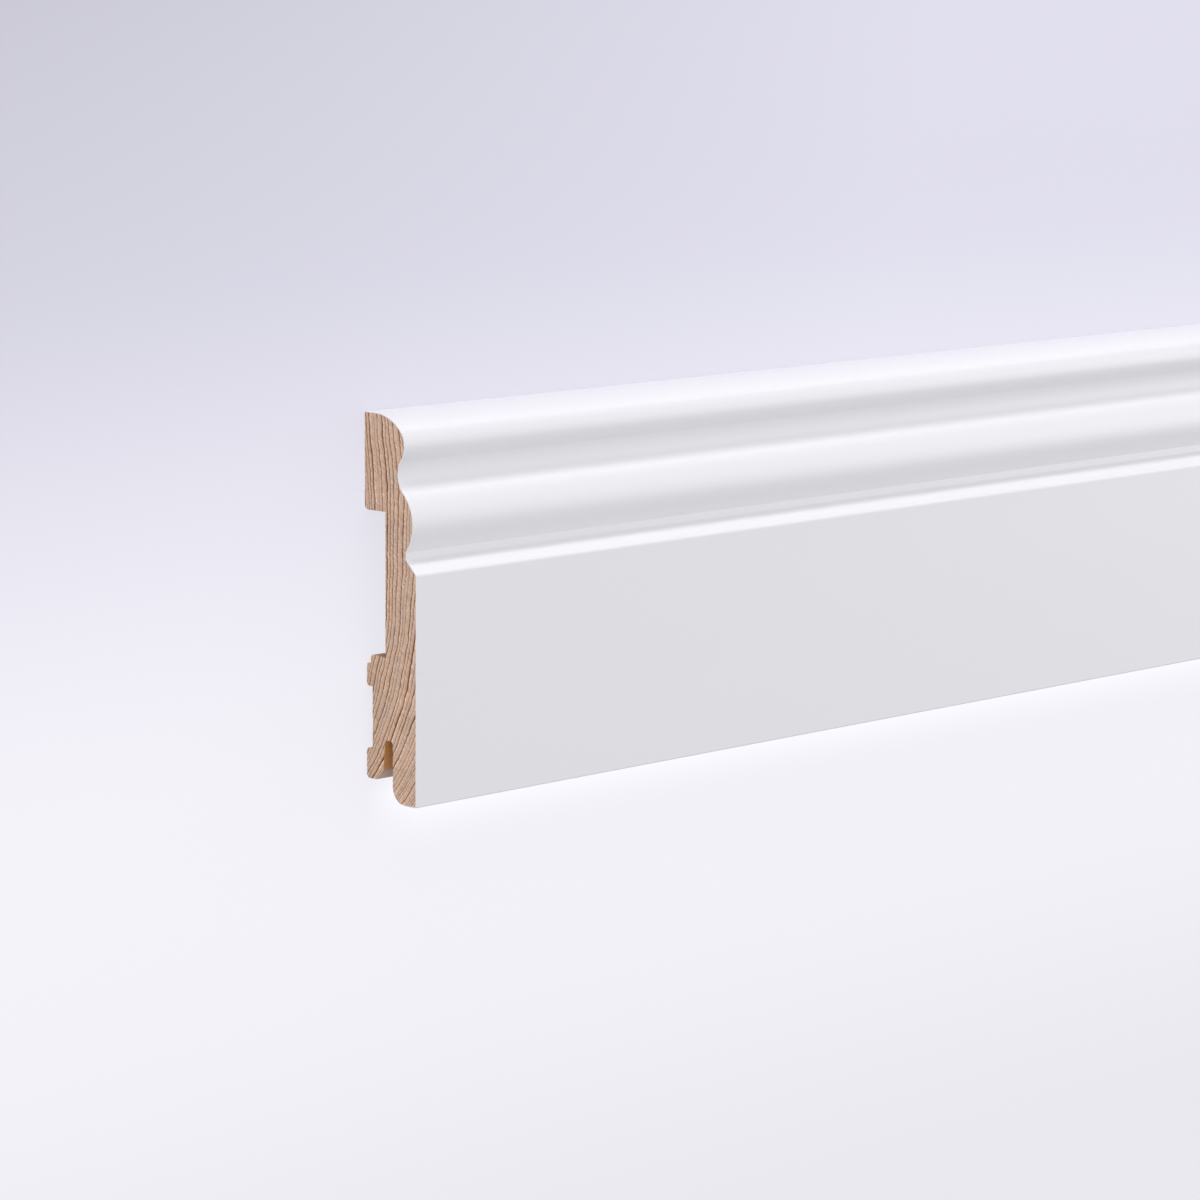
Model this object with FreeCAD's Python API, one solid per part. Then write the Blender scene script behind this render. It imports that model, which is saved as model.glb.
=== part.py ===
import FreeCAD, Part
import math
import os

# A length of moulded skirting board, machined from one softwood board.
# It lies on its back: X runs along the length, Y from the foot to the top edge and Z from the wall
# side to the face. The origin is the middle of the board's footprint. All sizes are millimetres.
#
# The section is drawn with two coordinates: depth, measured from the wall side to the face, and
# height, measured up from the foot as the board stands against a wall.

# Overall size
board_length = 2400.0
board_height = 96.0
board_thickness = 18.0

# Nosing: the rounded top of the face, a wide shoulder arc running into a tight nose arc
nose_radius = 5.65
nose_setback = 4.05
shoulder_radius = 12.4
shoulder_angle = 45.0
nose_undercut_angle = 42.0

# Ogee: a hollow cove that turns into a full swell
cove_radius = 6.45
cove_start_angle = 29.0
swell_radius = 10.4
swell_setback = 1.15

# Quirk: the small step under the swell, and the bevel that leads out to the flat face
quirk_depth = 3.5
quirk_height = 1.8
quirk_round = 0.7
bevel_height = 3.55
bevel_round = 0.9

# Foot: the front leg that stands on the floor
foot_thickness = 8.2
foot_round = 4.5
foot_arris = 0.4

# Clip slot: the groove that opens downwards between the two legs
slot_width = 2.7
slot_height = 15.5
slot_round = 0.9
slot_draft = 0.6
slot_chamfer_depth = 2.3
slot_chamfer_height = 2.7

# Rear leg, from its tip up: the low pad, the recess, the high pad and the ledge. Pads and recess
# are set back from the plane of the head, so that the head and the foot close on an uneven wall.
leg_lift = 5.4
pad_setback = 0.7
leg_recess = 2.7
low_pad_height = 7.6
low_pad_round = 1.1
recess_height = 15.4
high_pad_height = 5.7
high_pad_round = 0.9
ledge_setback = 2.1
ledge_height = 2.2
ledge_round = 1.0
ledge_relief = 0.4

# Web: the thin part in front of the cable channel
web_thickness = 10.75

# Head: the thick top of the board, whose back lies flat on the wall
head_height = 24.05
head_top_arris = 0.8
head_heel_round = 1.3

# Two points of the outline closer than this are one point
SAME_POINT = 1e-6

# The most of the way back along a straight edge, and of the way ahead, that a rounding may take up
TRIM_BACK = 0.95
TRIM_AHEAD = 0.45


class Outline:
    """A chain of straight and round edges in the plane of the section."""

    def __init__(self):
        self.edges = []
        self.start = None
        self.here = None

    def line_to(self, point):
        if self.start is None:
            self.start = point
        elif math.dist(self.here, point) > SAME_POINT:
            self.edges.append(Part.LineSegment(in_plane(self.here), in_plane(point)).toShape())
        self.here = point

    def arc_to(self, middle, end):
        self.edges.append(Part.Arc(in_plane(self.here), in_plane(middle), in_plane(end)).toShape())
        self.here = end

    def swing(self, centre, radius, start_angle, end_angle):
        """A round edge about a centre. Angles are in degrees up from the direction of the face."""
        self.line_to(on_circle(centre, radius, start_angle))
        middle = on_circle(centre, radius, (start_angle + end_angle) / 2)
        self.arc_to(middle, on_circle(centre, radius, end_angle))

    def round_corner(self, corner, following, radius):
        """Runs straight to a corner, rounds it, and leaves towards the following corner."""
        back = math.dist(corner, self.here)
        ahead = math.dist(corner, following)
        to_back = ((self.here[0] - corner[0]) / back, (self.here[1] - corner[1]) / back)
        to_ahead = ((following[0] - corner[0]) / ahead, (following[1] - corner[1]) / ahead)
        cosine = to_back[0] * to_ahead[0] + to_back[1] * to_ahead[1]
        half_turn = math.acos(max(-1.0, min(1.0, cosine))) / 2
        trim = min(radius / math.tan(half_turn), TRIM_BACK * back, TRIM_AHEAD * ahead)
        radius = trim * math.tan(half_turn)
        bisector = (to_back[0] + to_ahead[0], to_back[1] + to_ahead[1])
        length = math.hypot(*bisector)
        inset = radius / math.sin(half_turn) - radius
        middle = (corner[0] + bisector[0] / length * inset, corner[1] + bisector[1] / length * inset)
        self.line_to((corner[0] + to_back[0] * trim, corner[1] + to_back[1] * trim))
        self.arc_to(middle, (corner[0] + to_ahead[0] * trim, corner[1] + to_ahead[1] * trim))

    def run(self, corners, last):
        """Runs through rounded corners, given as (point, radius), to a last point."""
        points = [point for point, radius in corners] + [last]
        for index, (point, radius) in enumerate(corners):
            if radius:
                self.round_corner(point, points[index + 1], radius)
            else:
                self.line_to(point)
        self.line_to(last)


def in_plane(point):
    """A (depth, height) pair as a point on the left cut end of the board as it lies."""
    depth, height = point
    return FreeCAD.Vector(-board_length / 2, height - board_height / 2, depth)


def on_circle(centre, radius, angle):
    turn = math.radians(angle)
    return (centre[0] + radius * math.cos(turn), centre[1] + radius * math.sin(turn))


def moulded_face(outline):
    """The nosing, the cove, the swell and the quirk, from the top edge down to the flat face."""
    face = board_thickness
    nose_centre_depth = face - nose_setback - nose_radius
    shoulder_offset = shoulder_radius - nose_radius
    nose_centre = (
        nose_centre_depth,
        board_height - shoulder_radius + shoulder_offset * math.sin(math.radians(shoulder_angle)),
    )
    shoulder_centre = on_circle(nose_centre, -shoulder_offset, shoulder_angle)
    outline.swing(shoulder_centre, shoulder_radius, 90.0, shoulder_angle)
    outline.swing(nose_centre, nose_radius, shoulder_angle, -nose_undercut_angle)

    cove_centre = on_circle(outline.here, cove_radius, -cove_start_angle)
    swell_centre_depth = face - swell_setback - swell_radius
    centre_spacing = cove_radius + swell_radius
    drop = math.sqrt(centre_spacing**2 - (cove_centre[0] - swell_centre_depth) ** 2)
    swell_centre = (swell_centre_depth, cove_centre[1] - drop)
    ogee_angle = math.degrees(math.acos((cove_centre[0] - swell_centre_depth) / centre_spacing))
    outline.swing(cove_centre, cove_radius, 180.0 - cove_start_angle, 180.0 + ogee_angle)

    quirk_wall = face - quirk_depth
    swell_end = -math.degrees(math.acos((quirk_wall - swell_centre_depth) / swell_radius))
    outline.swing(swell_centre, swell_radius, ogee_angle, swell_end)
    bevel_top = outline.here[1] - quirk_height
    bevel_foot = bevel_top - bevel_height
    outline.run(
        [((quirk_wall, bevel_top), quirk_round), ((face, bevel_foot), bevel_round)],
        (face, bevel_foot - 2 * bevel_round),
    )


def foot_and_slot(outline):
    """The foot under the face, then the clip slot up and down again to the tip of the rear leg."""
    slot_front = board_thickness - foot_thickness
    slot_back = slot_front - slot_width
    chamfer_start = slot_back - slot_draft
    outline.run(
        [
            ((board_thickness, 0.0), foot_arris),
            ((slot_front, 0.0), foot_round),
            ((slot_front, slot_height), slot_round),
            ((slot_back, slot_height), slot_round),
            ((chamfer_start, leg_lift + slot_chamfer_height), 0),
        ],
        (chamfer_start - slot_chamfer_depth, leg_lift),
    )


def wall_side(outline):
    """The rear leg with its pads, the ledge, the back of the web and the head."""
    low_pad_top = leg_lift + low_pad_height
    high_pad_foot = low_pad_top + recess_height
    high_pad_top = high_pad_foot + high_pad_height
    ledge_top = high_pad_top + ledge_height
    web_back = board_thickness - web_thickness
    head_bottom = board_height - head_height
    outline.run(
        [
            ((pad_setback, leg_lift), low_pad_round),
            ((pad_setback, low_pad_top), low_pad_round),
            ((leg_recess, low_pad_top), 0),
            ((leg_recess, high_pad_foot), 0),
            ((pad_setback, high_pad_foot), high_pad_round),
            ((pad_setback, high_pad_top), high_pad_round),
            ((ledge_setback, high_pad_top), 0),
            ((ledge_setback, ledge_top), ledge_round),
            (((ledge_setback + web_back) / 2, ledge_top), 0),
            ((web_back, ledge_top - ledge_relief), 0),
            ((web_back, head_bottom), 0),
            ((0.0, head_bottom), head_heel_round),
            ((0.0, board_height), head_top_arris),
        ],
        outline.start,
    )


def skirting_board():
    """The whole section as one closed outline, drawn along the length of the board."""
    outline = Outline()
    moulded_face(outline)
    foot_and_slot(outline)
    wall_side(outline)
    section = Part.Face(Part.Wire(outline.edges))
    return section.extrude(FreeCAD.Vector(board_length, 0, 0))


os.makedirs("parts", exist_ok=True)
skirting_board().exportStep("parts/skirting_board.step")
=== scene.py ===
"""Skirting board: the looks of one moulded length of softwood, laid out as a Blender add-on.

The board lies on its back on a pale floor. X runs along its length, Y from its foot to its moulded
top edge and Z from its wall side to its white face. Lengths are in metres, and the words depth and
height mean Z and Y as the board stands against a wall: depth from the wall side, height from the
foot.
"""

import math
import bmesh
import bpy
from bpy.props import FloatProperty, FloatVectorProperty, IntProperty, PointerProperty
from mathutils import Euler, Matrix, Vector, noise
from mathutils.kdtree import KDTree


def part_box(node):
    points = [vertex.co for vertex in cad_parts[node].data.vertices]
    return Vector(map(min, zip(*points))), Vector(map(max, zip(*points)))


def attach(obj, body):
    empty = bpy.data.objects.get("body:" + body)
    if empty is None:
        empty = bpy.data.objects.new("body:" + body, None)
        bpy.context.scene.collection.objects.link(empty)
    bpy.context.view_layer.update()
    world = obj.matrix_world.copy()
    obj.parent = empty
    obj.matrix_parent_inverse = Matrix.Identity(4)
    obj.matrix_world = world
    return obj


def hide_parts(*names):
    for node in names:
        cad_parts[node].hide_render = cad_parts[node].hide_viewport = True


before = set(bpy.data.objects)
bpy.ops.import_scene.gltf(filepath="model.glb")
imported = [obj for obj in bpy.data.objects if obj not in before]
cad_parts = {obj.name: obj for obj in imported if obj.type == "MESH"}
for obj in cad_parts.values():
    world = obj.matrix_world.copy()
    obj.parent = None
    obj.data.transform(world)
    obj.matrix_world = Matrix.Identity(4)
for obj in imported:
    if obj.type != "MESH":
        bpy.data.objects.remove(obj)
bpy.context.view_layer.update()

bl_info = {
    "name": "Skirting Board",
    "version": (1, 0, 0),
    "blender": (4, 5, 0),
    "location": "3D View > Sidebar > Skirting",
    "description": "Makes a length of moulded, lacquered skirting board and the stage it lies on",
    "category": "Add Mesh",
}

MM = 0.001
NODE = "skirting_board"

# The board's overall box, as it lies
BOX_LOW, BOX_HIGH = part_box(NODE)
LENGTH = BOX_HIGH.x - BOX_LOW.x
HEIGHT = BOX_HIGH.y - BOX_LOW.y
THICKNESS = BOX_HIGH.z - BOX_LOW.z

# How finely the section's round stretches are drawn: degrees to a step, and the fewest steps
ARC_STEP = 4.0
LEAST_ARC_STEPS = 5

# Places nearer than this are one point
SAME_POINT = 1e-8

# How much of the line before and after a corner its rounding may use up
TRIM_BACK = 0.95
TRIM_AHEAD = 0.45

# An edge that turns by more than this is shaded sharp
SHARP_ARRIS = math.radians(24)

# At a cut end, how near a point may lie to a line of the grid before it counts as on it
GRID_SNAP = 1e-5

# The paint film is too thin to show at the cut on a side that turns to the wall by more than this,
# as the least Z of a side's normal
FILM_FACING = -0.35

# A face whose normal runs along the board by more than this share belongs to a cut end
END_FACING = 0.5

# How wide the waves, the fibres and the splinters of a saw cut are, in millimetres, and the noise
# above which a splinter breaks out
WAVE_SIZE = 9.0
FIBRE_SIZE = 0.55
SPLINTER_SIZE = 0.8
SPLINTER_FROM = 0.12

# The board's UV map, for baking its finishes. The two cut ends take up a strip of it at a large
# scale, because they hold the finest detail.
SURFACE_MAP = "OFBake"
ENDS_STRIP = 0.36
END_SCALE = 9.4

# Material places on the board's mesh
LACQUER, OVERSPRAY, BARE, BURNISHED, SAWN = range(5)


def length_of(name, description, millimetres):
    """A size that a user may change, given in millimetres and kept in metres."""
    return FloatProperty(
        name=name,
        description=description,
        default=millimetres * MM,
        min=0.0,
        precision=5,
        subtype="DISTANCE",
        unit="LENGTH",
    )


def colour_of(name, description, red, green, blue):
    return FloatVectorProperty(
        name=name,
        description=description,
        default=(red, green, blue),
        min=0.0,
        max=1.0,
        size=3,
        subtype="COLOR",
    )


def share_of(name, description, default):
    return FloatProperty(
        name=name, description=description, default=default, min=0.0, max=1.0, subtype="FACTOR"
    )


class SkirtingSection(bpy.types.PropertyGroup):
    """Sizes of the board's section. Its length, height and thickness are those of the frame."""

    nose_radius: length_of("Nose Radius", "Tight arc of the nosing", 5.65)
    nose_setback: length_of("Nose Setback", "How far the nosing stays behind the flat face", 4.05)
    shoulder_radius: length_of("Shoulder Radius", "Wide arc on top of the nosing", 12.4)
    cove_radius: length_of("Cove Radius", "Hollow under the nosing", 6.45)
    swell_radius: length_of("Swell Radius", "Full round under the hollow", 10.4)
    swell_setback: length_of("Swell Setback", "How far the swell stays behind the flat face", 1.15)
    quirk_depth: length_of("Quirk Depth", "Depth of the step under the swell", 3.5)
    quirk_height: length_of("Quirk Height", "Height of the wall of that step", 1.8)
    quirk_round: length_of("Quirk Round", "Rounding in the corner of that step", 0.7)
    bevel_height: length_of("Bevel Height", "Height of the bevel out to the flat face", 3.55)
    bevel_round: length_of("Bevel Round", "Rounding between bevel and flat face", 0.9)
    foot_thickness: length_of("Foot Thickness", "Front leg that stands on the floor", 8.2)
    foot_round: length_of("Foot Round", "Rounding at the back of the foot", 4.5)
    foot_arris: length_of("Foot Arris", "Softened front edge of the foot", 0.4)
    slot_width: length_of("Slot Width", "Clip slot between the legs, at its top", 2.7)
    slot_height: length_of("Slot Height", "Top of the clip slot above the floor", 15.5)
    slot_round: length_of("Slot Round", "Rounding of the slot's top corners", 0.9)
    slot_draft: length_of("Slot Draft", "How much the slot's back wall widens downwards", 0.6)
    chamfer_depth: length_of("Chamfer Depth", "Lead-in on the tip of the rear leg", 2.3)
    chamfer_height: length_of("Chamfer Height", "Height of that lead-in", 2.7)
    leg_lift: length_of("Leg Lift", "Tip of the rear leg above the floor", 5.4)
    pad_setback: length_of("Pad Setback", "How far the wall pads stay off the wall", 0.7)
    leg_recess: length_of("Leg Recess", "Setback between the two wall pads", 2.7)
    low_pad_height: length_of("Low Pad Height", "Lower wall pad", 7.6)
    low_pad_round: length_of("Low Pad Round", "Rounding of the lower wall pad", 1.1)
    recess_height: length_of("Recess Height", "Gap between the two wall pads", 15.4)
    high_pad_height: length_of("High Pad Height", "Upper wall pad", 5.7)
    high_pad_round: length_of("High Pad Round", "Rounding of the upper wall pad", 0.9)
    ledge_setback: length_of("Ledge Setback", "Setback of the ledge over the upper pad", 2.1)
    ledge_height: length_of("Ledge Height", "Rise from the upper pad to the ledge", 2.2)
    ledge_round: length_of("Ledge Round", "Rounding of the ledge's edge", 1.0)
    ledge_relief: length_of("Ledge Relief", "Fall of the ledge towards the web", 0.4)
    web_thickness: length_of("Web Thickness", "Thin part in front of the cable channel", 10.75)
    head_height: length_of("Head Height", "Thick top of the board", 24.05)
    head_top_arris: length_of("Head Arris", "Softened top edge at the wall", 0.8)
    head_heel_round: length_of("Heel Round", "Rounding at the foot of the head", 1.3)


class SkirtingFinish(bpy.types.PropertyGroup):
    """Finish of the board: its paint film, its wood and its saw cuts."""

    film: length_of("Paint Film", "Thickness of the lacquer where the saw cut shows it", 0.21)
    saw_pitch: length_of("Saw Cut Detail", "Spacing of the mesh over a cut end", 0.25)
    saw_wave: length_of("Saw Wave", "Unevenness of the cut over the section", 0.05)
    saw_fibre: length_of("Saw Fibre", "Roughness of the cut fibres", 0.035)
    tear_depth: length_of("Tear-out Depth", "Deepest splintering at the bare edges", 0.4)
    tear_reach: length_of("Tear-out Reach", "How far splintering reaches into the cut", 0.5)
    seed: IntProperty(name="Seed", description="Picks another cut surface", default=4)
    lacquer: colour_of("Lacquer", "Satin lacquer on the face", 0.8, 0.795, 0.832)
    earlywood: colour_of("Earlywood", "Light part of a growth ring", 0.603, 0.431, 0.325)
    midwood: colour_of("Midwood", "Brown between a ring's light and dark part", 0.39, 0.204, 0.107)
    latewood: colour_of("Latewood", "Dark part of a growth ring", 0.148, 0.065, 0.028)
    # Pale fibres beside a ring's dark line, with a painted highlight on them
    pale_fibres_and_highlight: colour_of("Pale Edge", "Fibres beside a ring's dark part", 0.835, 0.677, 0.538)
    planed_tint: colour_of("Planed Tint", "Warmth of the planed wall side", 0.8, 0.68, 0.53)
    burnished: colour_of("Burnished Wood", "Walls of the clip slot", 0.68, 0.362, 0.145)
    ring_width: length_of("Ring Width", "Mean width of a growth ring", 1.27)
    gloss: share_of("Lacquer Roughness", "Roughness of the satin lacquer", 0.42)


class SkirtingStage(bpy.types.PropertyGroup):
    """Tints of the floor and of the backdrop, and the strength of the sky."""

    floor_near: colour_of("Floor Near Foot", "Floor beside the foot", 0.95, 0.942, 1.0)
    floor_far: colour_of("Floor Near Top", "Floor beside the top edge", 0.885, 0.87, 1.0)
    backdrop: colour_of("Backdrop", "What is seen beyond the floor", 0.87, 0.87, 0.93)
    sky: FloatProperty(name="Sky", description="Strength of the soft sky", default=0.78, min=0.0)


def on_left_end(point):
    """A (depth, height) pair as a place on the left cut end."""
    depth, height = point
    return Vector((BOX_LOW.x, BOX_LOW.y + height, BOX_LOW.z + depth))


def in_cut_end(face):
    """Whether a face belongs to a cut end."""
    return abs(face.normal.x) > END_FACING


def on_circle(centre, radius, angle):
    turn = math.radians(angle)
    return (centre[0] + radius * math.cos(turn), centre[1] + radius * math.sin(turn))


class SectionPen:
    """Draws the outline of the section with mesh operators and notes the finish of each edge."""

    def __init__(self, mesh, start, finish):
        self.mesh = mesh
        self.finish_of = mesh.edges.layers.int.new("finish")
        self.at = start
        self.finish = finish
        self.first = mesh.verts.new(on_left_end(start))
        self.tip = self.first

    def note_finish(self):
        """Notes the finish, plus one, on the edges drawn last, which still hold 0."""
        for edge in self.mesh.edges:
            if edge[self.finish_of] == 0:
                edge[self.finish_of] = self.finish + 1

    def line_to(self, point):
        if math.dist(self.at, point) < SAME_POINT:
            return
        grown = bmesh.ops.extrude_vert_indiv(self.mesh, verts=[self.tip])
        self.tip = grown["verts"][0]
        bmesh.ops.translate(self.mesh, verts=[self.tip], vec=on_left_end(point) - self.tip.co)
        self.at = point
        self.note_finish()

    def swing(self, centre, degrees):
        """Swings round a centre. A positive angle turns from the face towards the top edge."""
        swung = bmesh.ops.spin(
            self.mesh,
            geom=[self.tip],
            cent=on_left_end(centre),
            axis=(1, 0, 0),
            angle=-math.radians(degrees),
            steps=max(LEAST_ARC_STEPS, round(abs(degrees) / ARC_STEP)),
            use_duplicate=False,
        )
        last = swung["geom_last"]
        self.tip = next(item for item in last if isinstance(item, bmesh.types.BMVert))
        self.at = (self.tip.co.z - BOX_LOW.z, self.tip.co.y - BOX_LOW.y)
        self.note_finish()

    def round_corner(self, corner, following, radius):
        """Runs to a corner, rounds it and leaves towards the following corner."""
        arrive = Vector(corner) - Vector(self.at)
        leave = Vector(following) - Vector(corner)
        turn = math.atan2(
            arrive.x * leave.y - arrive.y * leave.x, arrive.x * leave.x + arrive.y * leave.y
        )
        slope = math.tan(abs(turn) / 2)
        trim = min(radius * slope, TRIM_BACK * arrive.length, TRIM_AHEAD * leave.length)
        start = Vector(corner) - arrive.normalized() * trim
        side = math.copysign(1.0, turn)
        across = Vector((-arrive.y, arrive.x)).normalized() * side
        centre = start + across * (trim / slope)
        self.line_to(tuple(start))
        self.swing(tuple(centre), math.degrees(turn))

    def run(self, corners, last):
        """Runs through corners, given as (point, rounding, finish up to it), to a last point."""
        points = [point for point, rounding, finish in corners] + [last]
        for index, (point, rounding, finish) in enumerate(corners):
            self.finish = finish
            if rounding:
                self.round_corner(point, points[index + 1], rounding)
            else:
                self.line_to(point)
        self.line_to(last)

    def close(self):
        """Joins the tip to the first vertex and returns the outline's edges."""
        bmesh.ops.contextual_create(self.mesh, geom=[self.tip, self.first])
        self.note_finish()
        return list(self.mesh.edges)


def draw_moulding(mesh, sizes):
    """The nosing, the cove, the swell and the quirk, down to the flat face."""
    shoulder_angle = 45.0
    nose_undercut = 42.0
    cove_start = 29.0
    offset = sizes.shoulder_radius - sizes.nose_radius
    nose_centre = (
        THICKNESS - sizes.nose_setback - sizes.nose_radius,
        HEIGHT - sizes.shoulder_radius + offset * math.sin(math.radians(shoulder_angle)),
    )
    shoulder_centre = on_circle(nose_centre, -offset, shoulder_angle)
    pen = SectionPen(mesh, on_circle(shoulder_centre, sizes.shoulder_radius, 90.0), LACQUER)
    pen.swing(shoulder_centre, shoulder_angle - 90.0)
    pen.swing(nose_centre, -nose_undercut - shoulder_angle)

    cove_centre = on_circle(pen.at, sizes.cove_radius, -cove_start)
    swell_depth = THICKNESS - sizes.swell_setback - sizes.swell_radius
    spacing = sizes.cove_radius + sizes.swell_radius
    across = cove_centre[0] - swell_depth
    swell_centre = (swell_depth, cove_centre[1] - math.sqrt(spacing**2 - across**2))
    ogee = math.degrees(math.acos(across / spacing))
    pen.swing(cove_centre, ogee + cove_start)

    quirk_wall = THICKNESS - sizes.quirk_depth
    swell_end = -math.degrees(math.acos((quirk_wall - swell_depth) / sizes.swell_radius))
    pen.swing(swell_centre, swell_end - ogee)
    bevel_top = pen.at[1] - sizes.quirk_height
    bevel_foot = bevel_top - sizes.bevel_height
    pen.run(
        [
            ((quirk_wall, bevel_top), sizes.quirk_round, LACQUER),
            ((THICKNESS, bevel_foot), sizes.bevel_round, LACQUER),
        ],
        (THICKNESS, bevel_foot - 2 * sizes.bevel_round),
    )
    return pen


def draw_foot_and_slot(pen, sizes):
    """The foot, then the clip slot up and down again to the tip of the rear leg."""
    front = THICKNESS - sizes.foot_thickness
    back = front - sizes.slot_width
    tip = back - sizes.slot_draft
    pen.run(
        [
            ((THICKNESS, 0.0), sizes.foot_arris, LACQUER),
            ((front, 0.0), sizes.foot_round, LACQUER),
            ((front, sizes.slot_height), sizes.slot_round, BURNISHED),
            ((back, sizes.slot_height), sizes.slot_round, BURNISHED),
            ((tip, sizes.leg_lift + sizes.chamfer_height), 0, BURNISHED),
            ((tip - sizes.chamfer_depth, sizes.leg_lift), 0, OVERSPRAY),
        ],
        (tip - sizes.chamfer_depth, sizes.leg_lift),
    )


def draw_wall_side(pen, sizes):
    """The rear leg with its pads, the ledge, the back of the web and the head."""
    low_pad_top = sizes.leg_lift + sizes.low_pad_height
    high_pad_foot = low_pad_top + sizes.recess_height
    high_pad_top = high_pad_foot + sizes.high_pad_height
    ledge_top = high_pad_top + sizes.ledge_height
    web_back = THICKNESS - sizes.web_thickness
    head_bottom = HEIGHT - sizes.head_height
    pen.run(
        [
            ((sizes.pad_setback, sizes.leg_lift), sizes.low_pad_round, OVERSPRAY),
            ((sizes.pad_setback, low_pad_top), sizes.low_pad_round, BARE),
            ((sizes.leg_recess, low_pad_top), 0, BARE),
            ((sizes.leg_recess, high_pad_foot), 0, BARE),
            ((sizes.pad_setback, high_pad_foot), sizes.high_pad_round, BARE),
            ((sizes.pad_setback, high_pad_top), sizes.high_pad_round, BARE),
            ((sizes.ledge_setback, high_pad_top), 0, BARE),
            ((sizes.ledge_setback, ledge_top), sizes.ledge_round, BARE),
            (((sizes.ledge_setback + web_back) / 2, ledge_top), 0, BARE),
            ((web_back, ledge_top - sizes.ledge_relief), 0, BARE),
            ((web_back, head_bottom), 0, BARE),
            ((0.0, head_bottom), sizes.head_heel_round, BARE),
        ],
        (0.0, HEIGHT - 2 * sizes.head_top_arris),
    )
    pen.run([((0.0, HEIGHT), sizes.head_top_arris, LACQUER)], (2 * sizes.head_top_arris, HEIGHT))


def map_sides(mesh, outline, start):
    """Lays the long sides out in the map, above the strip that the ends take up."""
    girth = sum(edge.calc_length() for edge in outline)
    layer = mesh.loops.layers.uv.verify()
    corner = start
    around = 0.0
    left = set(outline)
    while left:
        edge = next(each for each in corner.link_edges if each in left)
        left.discard(edge)
        side = edge.link_faces[0]
        after = around + edge.calc_length()
        for loop in side.loops:
            at_start = math.dist(loop.vert.co.yz, corner.co.yz) < SAME_POINT
            share = (around if at_start else after) / girth
            across = (loop.vert.co.x - BOX_LOW.x) / LENGTH
            loop[layer].uv = (across, ENDS_STRIP + (1.0 - ENDS_STRIP) * share)
        around = after
        corner = edge.other_vert(corner)


def map_end(mesh, faces, row):
    """Lays a cut end out in a row of the map's lower part, at a large scale."""
    layer = mesh.loops.layers.uv.verify()
    row_height = ENDS_STRIP / 2
    margin = (row_height - THICKNESS * END_SCALE) / 2
    for face in faces:
        for loop in face.loops:
            height = loop.vert.co.y - BOX_LOW.y
            depth = loop.vert.co.z - BOX_LOW.z
            low = row * row_height + margin
            loop[layer].uv = (margin + height * END_SCALE, low + depth * END_SCALE)


def make_length(mesh, outline, pen):
    """Draws the outline out along the board, gives each side its finish and closes both ends."""
    finishes = {edge: edge[pen.finish_of] - 1 for edge in outline}
    drawn = bmesh.ops.extrude_edge_only(mesh, edges=outline)["geom"]
    far_corners = [item for item in drawn if isinstance(item, bmesh.types.BMVert)]
    bmesh.ops.translate(mesh, verts=far_corners, vec=(LENGTH, 0, 0))
    for edge, finish in finishes.items():
        edge.link_faces[0].material_index = finish
    map_sides(mesh, outline, pen.first)
    far = set(far_corners)
    far_outline = [edge for edge in mesh.edges if far.issuperset(edge.verts)]
    ends = []
    for edges in (outline, far_outline):
        end = bmesh.ops.contextual_create(mesh, geom=edges)["faces"][0]
        end.material_index = SAWN
        ends.append(end)
    bmesh.ops.recalc_face_normals(mesh, faces=mesh.faces)
    return ends


def show_film(mesh, end, film):
    """Insets a cut end, so that the cut paint film shows as a fine band along the painted edge."""
    rims = bmesh.ops.inset_region(
        mesh, faces=[end], use_boundary=True, use_even_offset=True, thickness=film, depth=0.0
    )["faces"]
    for rim in rims:
        side = next(
            (
                face
                for edge in rim.edges
                for face in edge.link_faces
                if face is not rim and not in_cut_end(face)
            ),
            None,
        )
        painted = side is not None and side.material_index == LACQUER
        shown = painted and side.normal.z > FILM_FACING
        rim.material_index = LACQUER if shown else SAWN
    return [end, *rims]


def grid_end(mesh, faces, pitch):
    """Cuts a cut end's faces into a fine grid, along the height and then through the depth."""
    corners = {vert for face in faces for vert in face.verts}
    edges = {edge for face in faces for edge in face.edges}
    geometry = [*faces, *edges, *corners]
    for axis, low, high in ((1, BOX_LOW.y, BOX_HIGH.y), (2, BOX_LOW.z, BOX_HIGH.z)):
        normal = Vector((0, 0, 0))
        normal[axis] = 1.0
        cuts = round((high - low) / pitch)
        for cut in range(1, cuts):
            geometry = bmesh.ops.bisect_plane(
                mesh,
                geom=geometry,
                dist=GRID_SNAP,
                plane_co=normal * (low + (high - low) * cut / cuts),
                plane_no=normal,
            )["geom"]
    return [item for item in geometry if isinstance(item, bmesh.types.BMFace)]


def roughen_end(faces, finish, inward):
    """Gives a cut end the low relief of a saw cut and splinters its bare edges, inwards only."""
    corners = {vert for face in faces for vert in face.verts}
    bare = [
        vert.co.copy()
        for vert in corners
        if any(
            not in_cut_end(face) and face.material_index in (BARE, BURNISHED)
            for face in vert.link_faces
        )
    ]
    edge_tree = KDTree(len(bare))
    for index, place in enumerate(bare):
        edge_tree.insert(place, index)
    edge_tree.balance()
    shift = Vector((finish.seed * inward, finish.seed * 3.0, 0))
    for vert in corners:
        place = Vector((0, vert.co.y / MM, vert.co.z / MM)) + shift
        wave = 0.5 + 0.5 * noise.noise(place / WAVE_SIZE)
        fibre = 0.5 + 0.5 * noise.noise(place / FIBRE_SIZE)
        splinter = max(0.0, noise.noise(place / SPLINTER_SIZE + shift) - SPLINTER_FROM)
        gap = edge_tree.find(vert.co)[2]
        near = max(0.0, 1.0 - gap / finish.tear_reach)
        sawn = finish.saw_wave * wave + finish.saw_fibre * fibre
        vert.co.x += inward * (sawn + finish.tear_depth * splinter * near)


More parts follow.
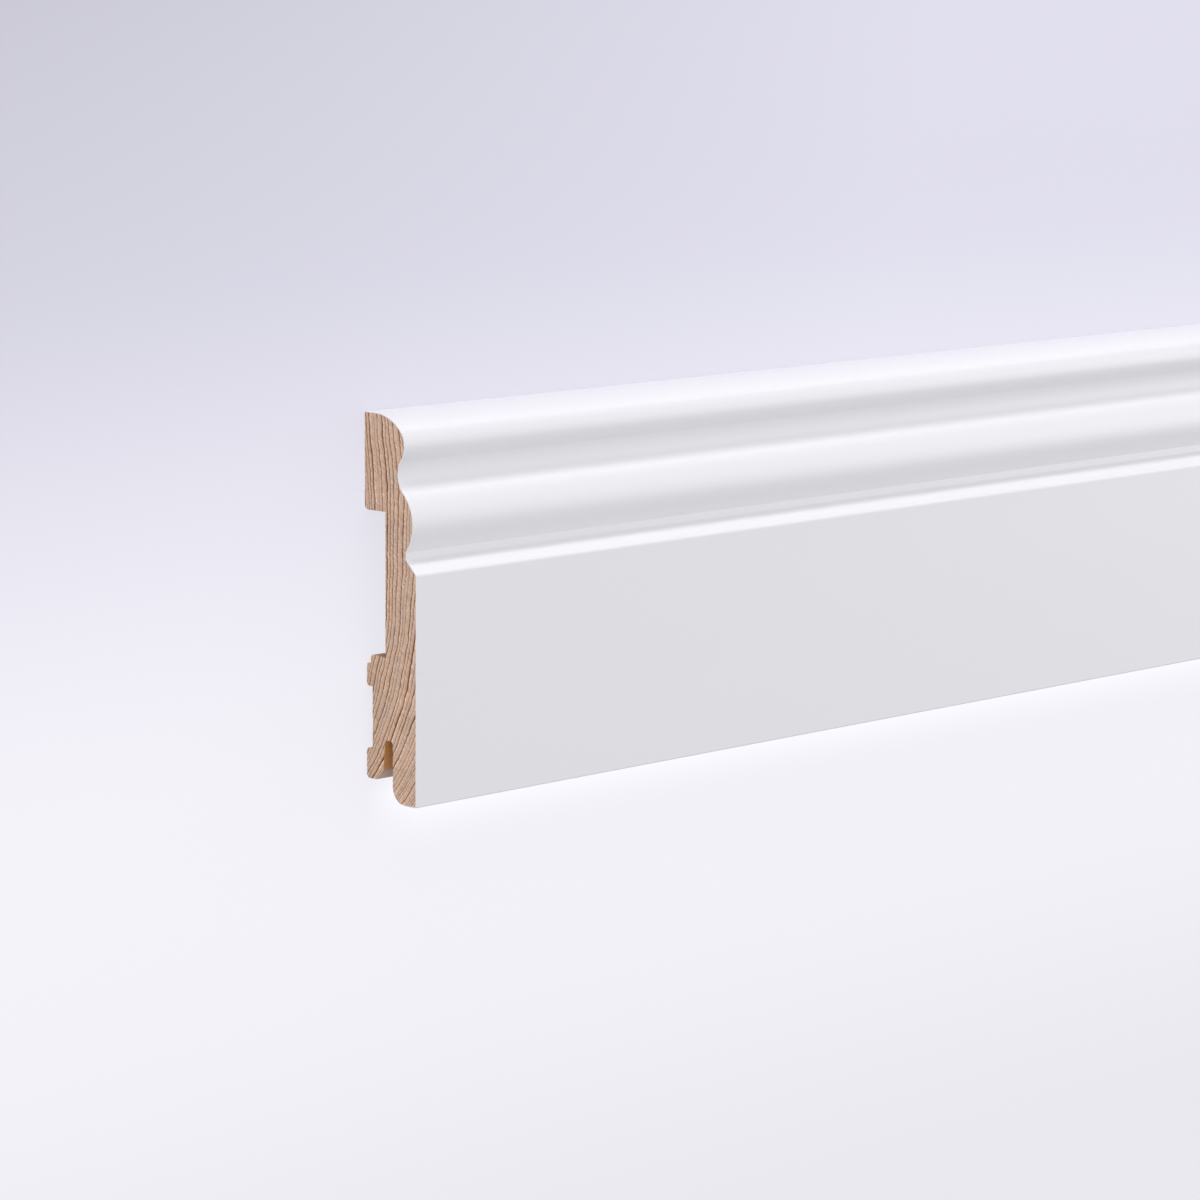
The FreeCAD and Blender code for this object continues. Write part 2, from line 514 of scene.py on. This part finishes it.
def board_mesh(section, finish):
    """The whole board as one closed mesh."""
    mesh = bmesh.new()
    pen = draw_moulding(mesh, section)
    draw_foot_and_slot(pen, section)
    draw_wall_side(pen, section)
    outline = pen.close()
    mesh.loops.layers.uv.new(SURFACE_MAP)
    ends = make_length(mesh, outline, pen)
    for row, (end, inward) in enumerate(zip(ends, (1.0, -1.0))):
        faces = grid_end(mesh, show_film(mesh, end, finish.film), finish.saw_pitch)
        map_end(mesh, faces, row)
        roughen_end(faces, finish, inward)
    bmesh.ops.recalc_face_normals(mesh, faces=mesh.faces)
    for face in mesh.faces:
        face.smooth = True
    for edge in mesh.edges:
        turned = edge.calc_face_angle(0.0) > SHARP_ARRIS
        at_rim = len({in_cut_end(face) for face in edge.link_faces}) > 1
        edge.smooth = not (turned or at_rim)
    return mesh


class Shader:
    """Builds one material, a node at a time. A place is measured in millimetres on the board."""

    def __init__(self, name):
        self.material = bpy.data.materials.new(name)
        self.material.use_nodes = True
        self.tree = self.material.node_tree
        self.surface = self.tree.nodes["Principled BSDF"]
        self.place = self.scaled(self.node("ShaderNodeTexCoord").outputs["Object"], 1 / MM)

    def node(self, kind, inputs=(), **settings):
        made = self.tree.nodes.new(kind)
        for name, value in settings.items():
            setattr(made, name, value)
        for socket, value in dict(inputs).items():
            self.set(made.inputs[socket], value)
        return made

    def set(self, socket, value):
        if isinstance(value, bpy.types.NodeSocket):
            self.tree.links.new(value, socket)
        else:
            socket.default_value = value

    def math(self, operation, *values, clamp=False):
        made = self.node("ShaderNodeMath", operation=operation, use_clamp=clamp)
        for socket, value in zip(made.inputs, values):
            self.set(socket, value)
        return made.outputs[0]

    def scaled(self, vector, factor):
        made = self.node("ShaderNodeVectorMath", operation="MULTIPLY")
        self.set(made.inputs[0], vector)
        self.set(made.inputs[1], (factor,) * 3 if isinstance(factor, float) else factor)
        return made.outputs[0]

    def noise(self, scale, detail=2.0, rough=0.5, place=None):
        """Noise from -0.5 to 0.5. The scale is in repeats per millimetre, per axis or for all."""
        where = self.scaled(self.place if place is None else place, scale)
        made = self.node(
            "ShaderNodeTexNoise",
            {"Vector": where, "Scale": 1.0, "Detail": detail, "Roughness": rough},
        )
        return self.math("SUBTRACT", made.outputs["Fac"], 0.5)

    def noise_along(self, value, scale):
        """Noise from -0.5 to 0.5 along one value."""
        made = self.node(
            "ShaderNodeTexNoise",
            {"W": self.math("MULTIPLY", value, scale), "Scale": 1.0, "Detail": 0.0},
            noise_dimensions="1D",
        )
        return self.math("SUBTRACT", made.outputs["Fac"], 0.5)

    def ramp(self, value, stops, shape="LINEAR"):
        """Maps a value through (position, grey) stops."""
        made = self.node("ShaderNodeValToRGB", {"Fac": value})
        made.color_ramp.interpolation = shape
        points = made.color_ramp.elements
        while len(points) < len(stops):
            points.new(1.0)
        for point, (position, grey) in zip(points, stops):
            point.position = position
            point.color = (grey, grey, grey, 1.0)
        return made.outputs["Color"]

    def mix(self, share, first, second, blend="MIX"):
        made = self.node("ShaderNodeMix", data_type="RGBA", blend_type=blend, clamp_factor=True)
        for index, value in ((0, share), (6, first), (7, second)):
            self.set(made.inputs[index], value)
        return made.outputs[2]

    def times(self, colour, value):
        """A colour made lighter or darker by a value near 1."""
        made = self.node("ShaderNodeVectorMath", operation="SCALE")
        self.set(made.inputs[0], colour)
        self.set(made.inputs["Scale"], value)
        return made.outputs[0]

    def coat(self, colour, roughness, specular):
        """Gives the surface its colour, and its gloss by plain values."""
        self.set(self.surface.inputs["Base Color"], colour)
        self.surface.inputs["Roughness"].default_value = roughness
        self.surface.inputs["Specular IOR Level"].default_value = specular

    def bump(self, height, millimetres, strength):
        made = self.node(
            "ShaderNodeBump",
            {"Height": height, "Distance": millimetres * MM, "Strength": strength},
        )
        self.set(self.surface.inputs["Normal"], made.outputs["Normal"])


def rgba(colour):
    return (*colour, 1.0)


# Rings stand upright this far above the middle of the board, in millimetres, and lean back above
# and below it, by these factors on the square and on the fourth power of the distance
UPRIGHT_AT = 18.0
RING_BEND = 0.003135
FOOT_BEND = 4.6e-7

# How far the rings drift and kink sideways, and how uneven their spacing is, in millimetres
RING_DRIFT = 5.0
RING_KINK = 1.0
RING_UNEVEN = 1.3

# How wide a ring's dark line is beside the mean: the narrowest, and what is added at random
LINE_LEAST_WIDTH = 0.7
LINE_MORE_WIDTH = 0.85

# How dark a ring's line is: the faintest, what is added at random, and how far it fades in and out
LINE_LEAST_STRENGTH = 0.68
LINE_MORE_STRENGTH = 0.42
LINE_FADING = 0.9

# How patchy the pale fibres and painted highlight beside a line are, and how much of them shows on
# average
FIBRE_HIGHLIGHT_PATCHINESS = 3.2
FIBRE_HIGHLIGHT_SHOWN = 0.4

# Across one ring: where its line is darkest, how dark the line is and how pale the fibres with
# their painted highlight beside it, as stops of (share of the ring's width, tone)
LINE_AT = 0.62
DARK_LINE = [
    (0.25, 0.0),
    (0.44, 0.16),
    (0.53, 0.5),
    (0.59, 1.0),
    (0.65, 1.0),
    (0.7, 0.15),
    (0.74, 0.0),
]
PALE_FIBRES_AND_HIGHLIGHT = [(0.69, 0.0), (0.75, 1.0), (0.82, 0.7), (0.9, 0.0)]


class GrowthRings:
    """The rings at a place on the board: how dark their lines are, and the pale fibres and painted
    highlight beside.
    """

    def __init__(self, shader, finish):
        self.shader = shader
        self.lay_out()
        wander = shader.noise_along(self.through, 0.4)
        uneven = shader.math("MULTIPLY_ADD", wander, RING_UNEVEN, self.through)
        number = shader.math("DIVIDE", uneven, finish.ring_width / MM)
        each = shader.node(
            "ShaderNodeTexWhiteNoise", {"W": shader.math("FLOOR", number)}, noise_dimensions="1D"
        )
        picks = shader.node("ShaderNodeSeparateColor", {0: each.outputs["Color"]}).outputs
        self.hue = picks[1]
        width = shader.math("MULTIPLY_ADD", picks[0], LINE_MORE_WIDTH, LINE_LEAST_WIDTH)
        off_line = shader.math("SUBTRACT", shader.math("FRACT", number), LINE_AT)
        part = shader.math("ADD", shader.math("DIVIDE", off_line, width), LINE_AT)
        line = shader.ramp(part, DARK_LINE)
        # Pale fibres beside the line, with a painted highlight on them
        edge = shader.ramp(part, PALE_FIBRES_AND_HIGHLIGHT)
        rank = shader.math("MULTIPLY", each.outputs["Value"], each.outputs["Value"])
        strength = shader.math("MULTIPLY_ADD", rank, LINE_MORE_STRENGTH, LINE_LEAST_STRENGTH)
        fading = shader.noise((0.004, 0.16, 0.16))
        fading = shader.math("MULTIPLY_ADD", fading, LINE_FADING, 1.0)
        patches = shader.noise((0.01, 0.8, 0.8), 2.0)
        broken = shader.math("MULTIPLY_ADD", patches, FIBRE_HIGHLIGHT_PATCHINESS, FIBRE_HIGHLIGHT_SHOWN, clamp=True)
        shown = shader.math("MULTIPLY", strength, fading)
        self.line = shader.math("MULTIPLY", line, shown, clamp=True)
        self.edge = shader.math("MULTIPLY", shader.math("MULTIPLY", edge, strength), broken)

    def lay_out(self):
        """Sets the distance through the rings and the distance along them."""
        shader = self.shader
        axes = shader.node("ShaderNodeSeparateXYZ", {0: shader.place})
        drop = shader.math("SUBTRACT", UPRIGHT_AT, axes.outputs["Y"])
        square = shader.math("MULTIPLY", drop, drop)
        bend = shader.math("MULTIPLY", square, RING_BEND)
        foot_bend = shader.math("MULTIPLY", shader.math("MULTIPLY", square, square), FOOT_BEND)
        slow = shader.noise((0.0015, 0.04, 0.04), detail=1.0)
        kinks = shader.noise((0.01, 0.25, 0.5), detail=3.0, rough=0.6)
        through = shader.math("ADD", axes.outputs["Z"], shader.math("ADD", bend, foot_bend))
        through = shader.math("MULTIPLY_ADD", slow, RING_DRIFT, through)
        self.through = shader.math("MULTIPLY_ADD", kinks, RING_KINK, through)
        narrowing = shader.math("MULTIPLY_ADD", axes.outputs["Z"], -2.0 * RING_BEND, 1.0)
        self.along = shader.math("MULTIPLY", drop, narrowing)


# How far the earlywood turns cooler or warmer in patches, and how far the brown of a ring turns
# redder, as factors on red, green and blue
COOLER = (0.96, 1.0, 1.07)
WARMER = (1.04, 1.0, 0.93)
REDDER = (1.15, 0.95, 0.75)

# How far the wood's tone drifts over the board
TONE_DRIFT = 0.3

# Through a ring's line, how fast the brown comes in, how fast the latewood follows and how much
# later, and how fast the pale fibres and their painted highlight come in
BROWN_RISE = 1.9
DARK_RISE = 1.6
DARK_DELAY = 0.6
FIBRE_HIGHLIGHT_RISE = 1.2


def shifted(colour, factors):
    return rgba(channel * factor for channel, factor in zip(colour, factors))


def wood_colour(shader, finish, rings, contrast, speckle):
    """Earlywood that darkens through a warm brown to latewood. Some rings are redder.

    Returns the colour and the fine grain in it. The scales of the noises are small along the board,
    because the grain runs that way.
    """
    drift = shader.noise((0.004, 0.13, 0.13), detail=2.0)
    grain = shader.noise((0.05, 2.6, 2.6), detail=2.0, rough=0.6)
    warmth = shader.math("MULTIPLY_ADD", shader.noise((0.003, 0.3, 0.3)), 2.0, 0.5, clamp=True)
    speckled = shader.math("MULTIPLY_ADD", grain, speckle, 1.0)
    tone = shader.math("MULTIPLY_ADD", drift, TONE_DRIFT, speckled)
    stain = shader.math("MULTIPLY", rings.line, contrast)
    light = shader.mix(
        warmth, shifted(finish.earlywood, COOLER), shifted(finish.earlywood, WARMER)
    )
    brown = shader.mix(rings.hue, rgba(finish.midwood), shifted(finish.midwood, REDDER))
    browned = shader.mix(shader.math("MULTIPLY", stain, BROWN_RISE, clamp=True), light, brown)
    dark_share = shader.math("MULTIPLY_ADD", stain, DARK_RISE, -DARK_DELAY, clamp=True)
    darkened = shader.mix(dark_share, browned, rgba(finish.latewood))
    # Pale fibres beside each line, with a painted highlight on them
    fibre_highlight_share = shader.math("MULTIPLY", rings.edge, FIBRE_HIGHLIGHT_RISE * contrast, clamp=True)
    fibre_highlighted = shader.mix(fibre_highlight_share, darkened, rgba(finish.pale_fibres_and_highlight))
    return shader.times(fibre_highlighted, tone), grain


# Pores of the resin canals: their cells to the millimetre, the share of cells left empty, how dark
# they are, the mark's value on the wood between them, and stops of (distance from the middle, mark)
CANAL_CELLS = 0.19
CANALS_LEFT_OUT = 0.45
CANAL_DARKNESS = 0.6
CANAL_GROUND = 0.35
CANAL_MARK = [
    (0.0, 1.0),
    (0.04, 1.0),
    (0.058, 0.15),
    (0.085, 0.0),
    (0.115, CANAL_GROUND),
    (0.13, CANAL_GROUND),
]


def resin_canals(shader):
    """Sparse pores: above 0 in the middle of a pore, below 0 in the pale rim round it."""
    plane = shader.scaled(shader.place, (0.0, CANAL_CELLS, CANAL_CELLS))
    cells = shader.node("ShaderNodeTexVoronoi", {"Vector": plane, "Scale": 1.0})
    mark = shader.ramp(cells.outputs["Distance"], CANAL_MARK)
    parts = shader.node("ShaderNodeSeparateColor", {0: cells.outputs["Color"]})
    chosen = shader.math("GREATER_THAN", parts.outputs[0], CANALS_LEFT_OUT)
    return shader.math("MULTIPLY", shader.math("SUBTRACT", mark, CANAL_GROUND), chosen)


# How far the saw's marks are turned from the board's height, how strongly they and the wood's rays
# mark the cut end, and how far the marks and the rings stand out beside the fine grain
SAW_TURN = math.radians(48)
SAW_SHARE = 0.7
RAY_SHARE = 0.25
HATCH_RELIEF = 0.6
RING_RELIEF = 0.6


def sawn_end_grain(finish):
    """Bare end grain at a saw cut: rings, rays, fibre speckle, faint saw marks and resin canals."""
    shader = Shader("sawn_end_grain")
    rings = GrowthRings(shader, finish)
    colour, grain = wood_colour(shader, finish, rings, contrast=1.0, speckle=0.62)
    crossed = shader.node("ShaderNodeCombineXYZ", {"X": rings.through, "Y": rings.along})
    rays = shader.noise((0.8, 2.2, 0.0), detail=1.0, place=crossed.outputs[0])
    turned = shader.node(
        "ShaderNodeMapping", {"Vector": shader.place, "Rotation": (SAW_TURN, 0, 0)}
    )
    saw = shader.noise((0.0, 0.4, 2.5), detail=1.0, place=turned.outputs[0])
    ray_marks = shader.math("MULTIPLY", rays, RAY_SHARE)
    hatch = shader.math("ADD", ray_marks, shader.math("MULTIPLY", saw, SAW_SHARE))
    colour = shader.times(colour, shader.math("ADD", hatch, 1.0))
    canals = resin_canals(shader)
    colour = shader.times(colour, shader.math("MULTIPLY_ADD", canals, -CANAL_DARKNESS, 1.0))
    shader.coat(colour, roughness=0.85, specular=0.25)
    fibres = shader.math("MULTIPLY_ADD", hatch, HATCH_RELIEF, grain)
    relief = shader.math("MULTIPLY_ADD", rings.line, RING_RELIEF, fibres)
    shader.bump(relief, millimetres=0.12, strength=0.4)
    return shader.material


def planed_softwood(finish):
    """Bare planed wood on the wall side, with the grain running along the board."""
    shader = Shader("planed_softwood")
    rings = GrowthRings(shader, finish)
    colour, grain = wood_colour(shader, finish, rings, contrast=0.35, speckle=0.3)
    planed = shader.mix(1.0, colour, rgba(finish.planed_tint), blend="MULTIPLY")
    shader.coat(planed, roughness=0.62, specular=0.2)
    shader.bump(grain, millimetres=0.05, strength=0.4)
    return shader.material


# Heights above the foot between which a mist of lacquer fades out in the slot, in millimetres, and
# how much of the wood it covers at the lower one
MIST_TOP = 12.5
MIST_FOOT = 7.5
MIST_SHARE = 0.1

# How far the streaks that the cutter left darken and lighten the slot
STREAK_SHARE = 0.3


def burnished_softwood(finish):
    """The walls of the slot, burnished by its cutter, with a mist of lacquer near its mouth."""
    shader = Shader("burnished_softwood")
    streaks = shader.noise((0.01, 1.1, 1.1), detail=2.0)
    tone = shader.math("MULTIPLY_ADD", streaks, STREAK_SHARE, 1.0)
    wood = shader.times(finish.burnished, tone)
    axes = shader.node("ShaderNodeSeparateXYZ", {0: shader.place})
    foot = BOX_LOW.y / MM
    mist = shader.node(
        "ShaderNodeMapRange",
        {
            "Value": axes.outputs["Y"],
            "From Min": foot + MIST_TOP,
            "From Max": foot + MIST_FOOT,
            "To Max": MIST_SHARE,
        },
    )
    colour = shader.mix(mist.outputs[0], wood, rgba(finish.lacquer))
    shader.coat(colour, roughness=0.55, specular=0.3)
    shader.bump(streaks, millimetres=0.04, strength=0.4)
    return shader.material


# How far the lacquer's tone drifts over the board
LACQUER_DRIFT = 0.02


def lacquer_surface(shader, colour, roughness, specular):
    """Lacquer: an almost even colour over grain that only just shows through."""
    peel = shader.noise(0.55, detail=1.0)
    strands = shader.noise((0.012, 0.9, 0.9), detail=2.0)
    tone = shader.noise((0.003, 0.03, 0.03), detail=1.0)
    toned = shader.times(colour, shader.math("MULTIPLY_ADD", tone, LACQUER_DRIFT, 1.0))
    shader.coat(toned, roughness, specular)
    shader.bump(shader.math("ADD", peel, strands), millimetres=0.006, strength=0.35)


def satin_lacquer(finish):
    shader = Shader("satin_lacquer")
    lacquer_surface(shader, tuple(finish.lacquer), roughness=finish.gloss, specular=0.5)
    return shader.material


# How much of the wood the overspray covers on average, and how far that varies
OVERSPRAY_COVER = 0.16
OVERSPRAY_PATCHES = 0.7


def thin_overspray(finish):
    """Mist of lacquer on the tip of the rear leg, thin enough for the wood to show."""
    shader = Shader("thin_overspray")
    rings = GrowthRings(shader, finish)
    colour = wood_colour(shader, finish, rings, contrast=0.6, speckle=0.35)[0]
    patches = shader.noise(0.4, detail=3.0)
    cover = shader.math(
        "MULTIPLY_ADD", patches, OVERSPRAY_PATCHES, OVERSPRAY_COVER, clamp=True
    )
    misted = shader.mix(cover, colour, rgba(finish.lacquer))
    lacquer_surface(shader, misted, roughness=0.7, specular=0.2)
    return shader.material


# In the order of the material places
FINISHES = (satin_lacquer, thin_overspray, planed_softwood, burnished_softwood, sawn_end_grain)


class SKIRTING_OT_board(bpy.types.Operator):
    """Model the board from its section and finish its lacquered and bare sides"""

    bl_idname = "skirting.board"
    bl_label = "Make Board"

    def execute(self, context):
        section = context.scene.skirting_section
        finish = context.scene.skirting_finish
        data = bpy.data.meshes.new("moulded_board")
        mesh = board_mesh(section, finish)
        mesh.to_mesh(data)
        mesh.free()
        for make in FINISHES:
            data.materials.append(make(finish))
        board = bpy.data.objects.new("moulded_board", data)
        context.scene.collection.objects.link(board)
        weighted = board.modifiers.new("even_flats", "WEIGHTED_NORMAL")
        weighted.keep_sharp = True
        weighted.weight = 100
        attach(board, "root")
        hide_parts(NODE)
        return {"FINISHED"}


# The softboxes: name, place, what each points at, size in metres, and watts
MIDDLE = (0.0, 0.0, 0.0)
LEFT_END = (BOX_LOW.x, 0.0, 0.0)
SOFTBOXES = (
    ("top_softbox", (0.0, 2.6, 0.36), MIDDLE, (5.0, 0.3), 36.3),
    ("right_softbox", (3.5, 0.3, 2.0), LEFT_END, (2.0, 2.0), 45.5),
    ("end_softbox", (-3.8, 0.1, 0.45), LEFT_END, (2.0, 0.8), 18.8),
)


def hang_softbox(context, name, place, target, size, watts):
    data = bpy.data.lights.new(name, "AREA")
    data.shape = "RECTANGLE"
    data.size, data.size_y = size
    data.energy = watts
    lamp = bpy.data.objects.new(name, data)
    turn = (Vector(target) - Vector(place)).to_track_quat("-Z", "Y")
    lamp.matrix_world = Matrix.Translation(place) @ turn.to_matrix().to_4x4()
    context.scene.collection.objects.link(lamp)


# The sky is black on the foot's side, up to this height above the floor, as beside a black flag.
# The dark side is what models the hollows of the section.
FLAG_TOP = math.radians(30)
FLAG_BLUR = 0.12


def backdrop_rays(tree):
    """1 for a ray from the camera, off something glossy or through glass, and 0 for any other."""
    rays = tree.nodes.new("ShaderNodeLightPath")
    share = rays.outputs["Is Camera Ray"]
    for name in ("Is Glossy Ray", "Is Transmission Ray"):
        either = tree.nodes.new("ShaderNodeMath")
        either.operation = "MAXIMUM"
        tree.links.new(share, either.inputs[0])
        tree.links.new(rays.outputs[name], either.inputs[1])
        share = either.outputs[0]
    return share


def make_world(context, stage):
    """A soft sky with a dark foot side. What is seen in its place is the pale backdrop."""
    world = bpy.data.worlds.new("soft_sky")
    world.use_nodes = True
    tree = world.node_tree
    sky = tree.nodes["Background"]
    sky.inputs["Color"].default_value = (1.0, 1.0, 1.0, 1.0)
    way = tree.nodes.new("ShaderNodeTexCoord")
    over_flag = tree.nodes.new("ShaderNodeVectorMath")
    over_flag.operation = "DOT_PRODUCT"
    over_flag.inputs[1].default_value = (0.0, math.sin(FLAG_TOP), math.cos(FLAG_TOP))
    share = tree.nodes.new("ShaderNodeMapRange")
    share.interpolation_type = "SMOOTHSTEP"
    share.inputs["From Min"].default_value = -FLAG_BLUR
    share.inputs["From Max"].default_value = FLAG_BLUR
    share.inputs["To Max"].default_value = stage.sky
    backdrop = tree.nodes.new("ShaderNodeBackground")
    backdrop.inputs["Color"].default_value = rgba(stage.backdrop)
    pick = tree.nodes.new("ShaderNodeMixShader")
    tree.links.new(way.outputs["Object"], over_flag.inputs[0])
    tree.links.new(over_flag.outputs["Value"], share.inputs["Value"])
    tree.links.new(share.outputs["Result"], sky.inputs["Strength"])
    tree.links.new(backdrop_rays(tree), pick.inputs["Fac"])
    tree.links.new(sky.outputs[0], pick.inputs[1])
    tree.links.new(backdrop.outputs[0], pick.inputs[2])
    tree.links.new(pick.outputs[0], tree.nodes["World Output"].inputs["Surface"])
    context.scene.world = world


# The floor reaches this far each way, in metres, and this is its own albedo beside its tint
FLOOR_REACH = 30.0
FLOOR_ALBEDO = 0.8

# How much of what is seen of the floor is its pale tone, with the painted light and shade on it.
# The rest is its surface in the light, with the board's shadow.
SEEN_SHARE = 0.83

# The floor's tone across the board, from the foot's side to the top edge's side, is painted light
# and
# shade: brightest under the board and beside its foot, where it lightens the board's shadow, and
# darker further out. Each stop is a place in millimetres and the tone there.
TONE_FROM = -260.0
TONE_TO = 220.0
PAINTED_FLOOR_LIGHT_AND_SHADE = [
    (-260, 0.9),
    (-210, 0.9),
    (-170, 0.89),
    (-110, 1.0),
    (-45, 1.0),
    (10, 1.0),
    (50, 0.93),
    (90, 0.86),
    (140, 0.9),
    (220, 0.86),
]

# The floor's tint turns from the foot's to the top edge's between these two places, in millimetres
TINT_FROM = -40.0
TINT_TO = 80.0

# Painted shade darkens the floor towards a place off the top left of the picture, more and more
# between two places from the foot's side to the top edge's side, in millimetres
PAINTED_SHADE_PLACE = (-1450.0, 250.0, 0.0)
PAINTED_SHADE_REACH = 480.0
PAINTED_SHADE_FROM = -20.0
PAINTED_SHADE_TO = 160.0
PAINTED_SHADE_SHARE = 0.4

# Painted light brightens the floor close beside the foot, as if thrown off the white board, as far
# as this in millimetres and by this share
PAINTED_GLOW_REACH = 18.0
PAINTED_GLOW_SHARE = 0.26


def painted_glow_beside_foot(shader, axes):
    """Painted light: 1, and a little more on the floor close beside the board's foot."""
    gap = shader.math("ABSOLUTE", shader.math("SUBTRACT", axes.outputs["Y"], BOX_LOW.y / MM))
    near = shader.math("MULTIPLY_ADD", gap, -1.0 / PAINTED_GLOW_REACH, 1.0, clamp=True)
    from_left = shader.math("SUBTRACT", axes.outputs["X"], BOX_LOW.x / MM)
    from_right = shader.math("SUBTRACT", BOX_HIGH.x / MM, axes.outputs["X"])
    inside = shader.math("MINIMUM", from_left, from_right)
    along = shader.math("DIVIDE", inside, PAINTED_GLOW_REACH, clamp=True)
    share = shader.math("MULTIPLY", shader.math("MULTIPLY", near, near), along)
    return shader.math("MULTIPLY_ADD", share, PAINTED_GLOW_SHARE, 1.0)


def pale_floor(stage):
    """A pale floor that painted shade darkens towards the top left of the picture, where it turns
    bluer.
    """
    shader = Shader("pale_floor")
    axes = shader.node("ShaderNodeSeparateXYZ", {0: shader.place})
    across, top, painted_shade_rise = [
        shader.node(
            "ShaderNodeMapRange", {"Value": axes.outputs["Y"], "From Min": low, "From Max": high}
        ).outputs[0]
        for low, high in ((TONE_FROM, TONE_TO), (TINT_FROM, TINT_TO), (PAINTED_SHADE_FROM, PAINTED_SHADE_TO))
    ]
    stops = [((place - TONE_FROM) / (TONE_TO - TONE_FROM), tone) for place, tone in PAINTED_FLOOR_LIGHT_AND_SHADE]
    # The painted light and shade across the floor
    tone = shader.ramp(across, stops, "B_SPLINE")
    # Painted shade that darkens the floor towards the place off the top left
    gap = shader.node(
        "ShaderNodeVectorMath", {0: shader.place, 1: PAINTED_SHADE_PLACE}, operation="DISTANCE"
    )
    near = shader.math("MULTIPLY_ADD", gap.outputs["Value"], -1.0 / PAINTED_SHADE_REACH, 1.0, clamp=True)
    painted_light_and_shade = shader.math("MULTIPLY_ADD", shader.math("MULTIPLY", near, painted_shade_rise), -PAINTED_SHADE_SHARE, 1.0)
    tint = shader.mix(top, rgba(stage.floor_near), rgba(stage.floor_far))
    # Painted light beside the foot, on top of the painted shade
    painted_light_and_shade = shader.math("MULTIPLY", painted_light_and_shade, painted_glow_beside_foot(shader, axes))
    # What the camera sees of the floor carries the painted light and shade
    seen = shader.times(shader.times(tint, tone), painted_light_and_shade)
    shader.coat(shader.times(tint, FLOOR_ALBEDO), roughness=0.9, specular=0.1)
    glow = shader.node("ShaderNodeEmission", {"Color": seen, "Strength": 1.0})
    share = shader.math("MULTIPLY", backdrop_rays(shader.tree), SEEN_SHARE)
    both = shader.node("ShaderNodeMixShader", {"Fac": share})
    shader.set(both.inputs[1], shader.surface.outputs[0])
    shader.set(both.inputs[2], glow.outputs[0])
    shader.set(shader.tree.nodes["Material Output"].inputs["Surface"], both.outputs[0])
    return shader.material


def make_floor(context, stage):
    mesh = bmesh.new()
    bmesh.ops.create_grid(mesh, x_segments=2, y_segments=2, size=FLOOR_REACH)
    bmesh.ops.translate(mesh, verts=mesh.verts, vec=(0, 0, BOX_LOW.z))
    data = bpy.data.meshes.new("floor")
    mesh.to_mesh(data)
    mesh.free()
    data.materials.append(pale_floor(stage))
    floor = bpy.data.objects.new("floor", data)
    context.scene.collection.objects.link(floor)


# The camera, placed as if the board stood upright with the front bottom corner of its left end at
# the origin: X along the board, Y back into the wall and Z up. Laying the board down turns it over.
CAMERA_PLACE = (-0.7858, -0.8060, 0.2234)
CAMERA_YAW = 46.54
CAMERA_PITCH = -8.675
CAMERA_ROLL = 0.382
CAMERA_LENS = 140.94


def make_camera(context):
    data = bpy.data.cameras.new("camera")
    data.sensor_width = 36.0
    data.lens = CAMERA_LENS
    data.clip_start = 0.01
    data.clip_end = 100.0
    camera = bpy.data.objects.new("camera", data)
    level = Euler((math.radians(90 + CAMERA_PITCH), 0, -math.radians(CAMERA_YAW))).to_matrix()
    roll = Matrix.Rotation(math.radians(CAMERA_ROLL), 3, "Z")
    upright = Matrix.Translation(CAMERA_PLACE) @ (level @ roll).to_4x4()
    corner = Vector((BOX_LOW.x, BOX_LOW.y, BOX_HIGH.z))
    lay_down = Matrix.Translation(corner) @ Matrix.Rotation(math.radians(-90), 4, "X")
    camera.matrix_world = lay_down @ upright
    context.scene.collection.objects.link(camera)
    context.scene.camera = camera


class SKIRTING_OT_stage(bpy.types.Operator):
    """Lay the floor, hang the soft lights and place the camera"""

    bl_idname = "skirting.stage"
    bl_label = "Make Stage"

    def execute(self, context):
        stage = context.scene.skirting_stage
        make_floor(context, stage)
        make_world(context, stage)
        for softbox in SOFTBOXES:
            hang_softbox(context, *softbox)
        make_camera(context)
        context.scene.view_settings.view_transform = "Standard"
        return {"FINISHED"}


class SKIRTING_PT_panel(bpy.types.Panel):
    """Lists the steps that make the board and its stage"""

    bl_idname = "SKIRTING_PT_panel"
    bl_label = "Skirting Board"
    bl_space_type = "VIEW_3D"
    bl_region_type = "UI"
    bl_category = "Skirting"

    def draw(self, context):
        for step in (SKIRTING_OT_board, SKIRTING_OT_stage):
            self.layout.operator(step.bl_idname)
        for group in ("skirting_finish", "skirting_section", "skirting_stage"):
            values = getattr(context.scene, group)
            box = self.layout.box()
            for name in values.bl_rna.properties.keys():
                if name not in ("rna_type", "name"):
                    box.prop(values, name)


CLASSES = (
    SkirtingSection,
    SkirtingFinish,
    SkirtingStage,
    SKIRTING_OT_board,
    SKIRTING_OT_stage,
    SKIRTING_PT_panel,
)


def register():
    for each in CLASSES:
        bpy.utils.register_class(each)
    bpy.types.Scene.skirting_section = PointerProperty(type=SkirtingSection)
    bpy.types.Scene.skirting_finish = PointerProperty(type=SkirtingFinish)
    bpy.types.Scene.skirting_stage = PointerProperty(type=SkirtingStage)


def unregister():
    del bpy.types.Scene.skirting_stage
    del bpy.types.Scene.skirting_finish
    del bpy.types.Scene.skirting_section
    for each in reversed(CLASSES):
        bpy.utils.unregister_class(each)


def main():
    register()
    bpy.ops.skirting.stage()
    bpy.ops.skirting.board()


if __name__ == "__main__":
    main()
